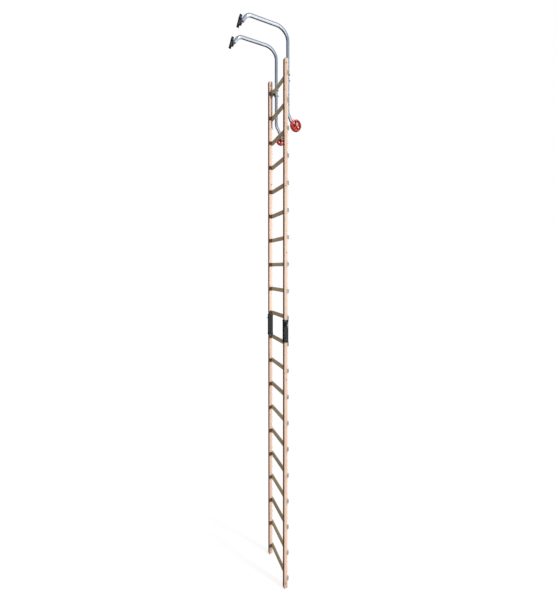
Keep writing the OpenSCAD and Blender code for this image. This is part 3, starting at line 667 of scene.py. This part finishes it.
for side, sign in SIDES:
    pivot_y, pivot_z = middle(f"pad_pivot_{side}")[1:]
    pivot = Matrix.Translation((sign * TUBE_X, pivot_y, pivot_z))
    pivot = pivot @ Matrix.Rotation(PAD_TILT, 4, "X")
    mesh = bmesh.new()
    for block in (-BLOCK_AT, BLOCK_AT):
        pad_lobes(mesh, pivot, block)
    lobes = piece(f"pad_lobes_{side}", mesh, f"pad_{side}", "pad_rubber", smooth=50.0)
    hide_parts(f"pad_rubber_{side}")
    mesh = bmesh.new()
    for x in BOLTS_AT:
        pad_bolt(mesh, pivot, x)
    piece(f"pad_bolts_{side}", mesh, f"pad_{side}", "fastener_zinc", smooth=35.0)


# ---- floor, light and camera ----

WHITE = (1.0, 1.0, 1.0)
FLOOR_HALF = 30.0                       # half the floor's width, in metres
FLOOR_GREY = (0.86, 0.86, 0.86)
FLOOR_GLOW = 0.66                       # brings the floor up to the background's white
FILL = (0.36, 0.36, 0.37)
SHADED_SKY = (0.085, 0.095, 0.125)
OPEN_SKY = (0.40, 0.475, 0.60)
GROUND = (0.055, 0.057, 0.065)
BAND = (1.15, 1.17, 1.22)
KEY_FROM = Vector((-0.78, -0.60, 0.07))
KEY_ENERGY = 3.3
KEY_ANGLE = math.radians(9)
KEY_COLOUR = (1.0, 0.985, 0.96)


def studio_floor():
    """A pale floor that takes soft contact shadows."""
    mesh = bmesh.new()
    bmesh.ops.create_grid(mesh, x_segments=1, y_segments=1, size=FLOOR_HALF)
    data = bpy.data.meshes.new("studio_floor")
    mesh.to_mesh(data)
    mesh.free()
    floor = bpy.data.objects.new("studio_floor", data)
    floor.location = (0, 0, FLOOR_Z)
    bpy.context.scene.collection.objects.link(floor)
    floor.visible_glossy = False
    g = Graph("studio_floor_white")
    seen = g.node("ShaderNodeLightPath").outputs["Is Camera Ray"]
    data.materials.append(g.set(
        Base_Color=FLOOR_GREY, Roughness=0.9, Specular_IOR_Level=0.0,
        Emission_Color=WHITE, Emission_Strength=g.calc("MULTIPLY", seen, FLOOR_GLOW)))


def studio_world():
    """White behind the object, an even fill, and soft bands for the metal to reflect."""
    world = bpy.data.worlds.new("studio")
    bpy.context.scene.world = world
    world.use_nodes = True
    g = Tree(world.node_tree)
    g.tree.nodes.clear()
    x, y, z = g.split(g.node("ShaderNodeTexCoord").outputs["Generated"])
    toward = g.calc("ADD", g.calc("MULTIPLY", x, -0.87), g.calc("MULTIPLY", y, -0.50))
    sky = g.mix(g.rise(toward, -0.45, 0.45), SHADED_SKY, OPEN_SKY)
    sky = g.mix(g.rise(z, -0.05, -0.20), sky, GROUND)
    band = g.calc("MULTIPLY", g.rise(z, 0.30, 0.10), g.rise(toward, -0.02, 0.16))
    sky = g.mix(band, sky, BAND)
    path = g.node("ShaderNodeLightPath")
    light = g.mix(path.outputs["Is Glossy Ray"], FILL, sky)
    light = g.mix(path.outputs["Is Camera Ray"], light, WHITE)
    shine = g.node("ShaderNodeBackground", {"Color": light, "Strength": 1.0})
    g.node("ShaderNodeOutputWorld", {"Surface": shine.outputs[0]})


def key_light():
    """A broad, level key from the climbing side."""
    data = bpy.data.lights.new("key", "SUN")
    data.energy = KEY_ENERGY
    data.angle = KEY_ANGLE
    data.color = KEY_COLOUR
    key = bpy.data.objects.new("key", data)
    key.rotation_euler = KEY_FROM.to_track_quat("Z", "Y").to_euler()
    bpy.context.scene.collection.objects.link(key)


EYE = Vector((-2.6502, 1.1212, -2.4865))
EYE_YAW, EYE_PITCH, EYE_ROLL = 0.3721, -0.0241, -0.0022     # in radians
LENS = 16.011
SHIFT_X, SHIFT_Y = 0.0434, -0.0414


def camera():
    """The view from beside the ladder's middle, about 2.6 m to its left."""
    ahead = Vector((math.cos(EYE_YAW) * math.cos(EYE_PITCH),
                    -math.sin(EYE_YAW) * math.cos(EYE_PITCH), math.sin(EYE_PITCH)))
    level = ahead.cross(Vector((0, 0, 1))).normalized()
    upright = level.cross(ahead)
    right = level * math.cos(EYE_ROLL) + upright * math.sin(EYE_ROLL)
    up = upright * math.cos(EYE_ROLL) - level * math.sin(EYE_ROLL)
    data = bpy.data.cameras.new("camera")
    data.sensor_width = 36.0
    data.lens = LENS
    data.shift_x = SHIFT_X
    data.shift_y = SHIFT_Y
    data.clip_end = 200.0
    eye = bpy.data.objects.new("camera", data)
    turn = Matrix((right, up, -ahead)).transposed().to_4x4()
    eye.matrix_world = Matrix.Translation(EYE) @ turn
    bpy.context.scene.collection.objects.link(eye)
    bpy.context.scene.camera = eye


studio_floor()
studio_world()
key_light()
camera()
bpy.context.scene.view_settings.view_transform = "Standard"
bpy.context.scene.view_settings.look = "None"
